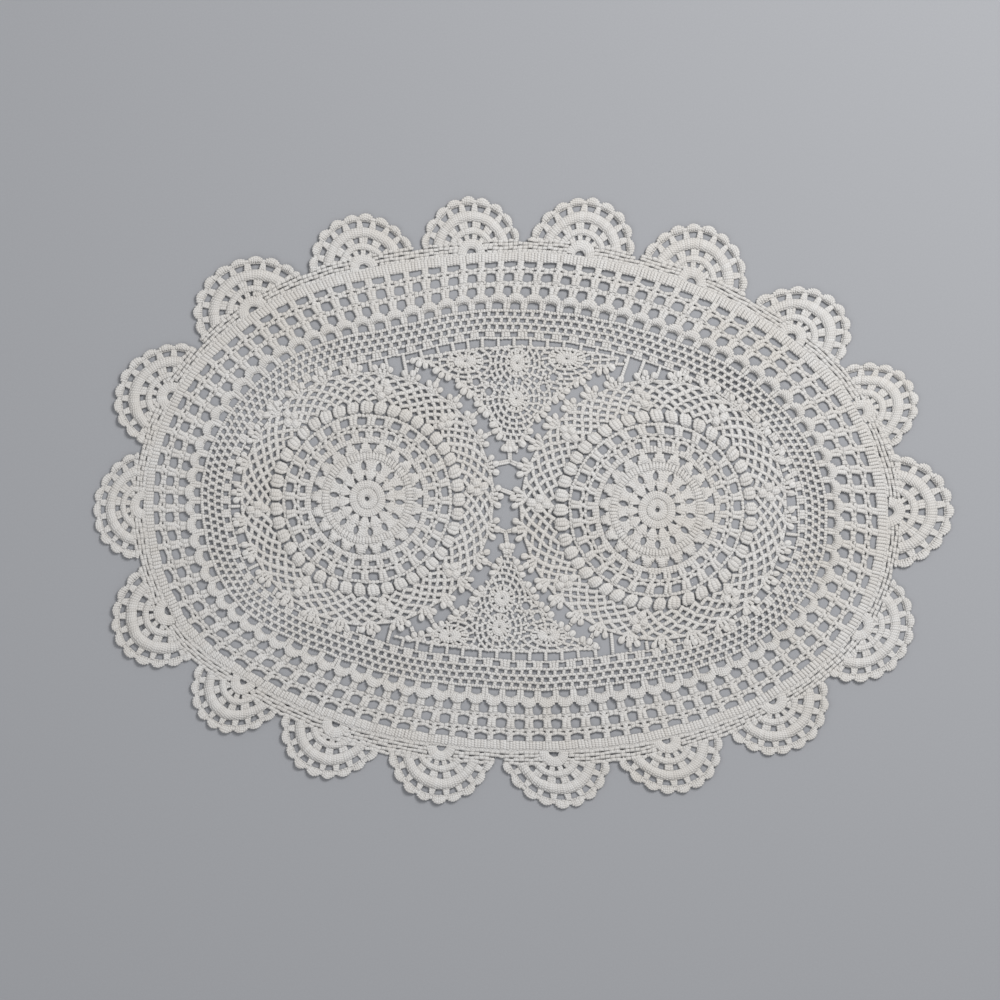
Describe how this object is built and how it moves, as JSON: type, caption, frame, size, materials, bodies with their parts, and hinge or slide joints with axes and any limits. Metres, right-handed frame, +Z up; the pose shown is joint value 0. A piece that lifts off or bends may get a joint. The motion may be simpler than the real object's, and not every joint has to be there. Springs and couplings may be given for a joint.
{
  "type": "crocheted lace doily",
  "caption": "Oval crocheted cotton doily lying flat: two round medallions, two three-lobed fans between them and a wide openwork surround with a scalloped edge",
  "frame": {"origin": "on the surface that the doily lies on, under the middle of its box", "axes": "+X along the oval's length, +Y across it, +Z up out of the cloth"},
  "size_m": [0.5592, 0.3974, 0.002],
  "materials": {
    "cotton_thread": "mercerised cotton crochet thread, off-white, soft low sheen"
  },
  "bodies": {
    "root": {"border": "cotton_thread", "medallion_left": "cotton_thread", "medallion_right": "cotton_thread", "fan_top": "cotton_thread", "fan_bottom": "cotton_thread"}
  },
  "joints": []
}
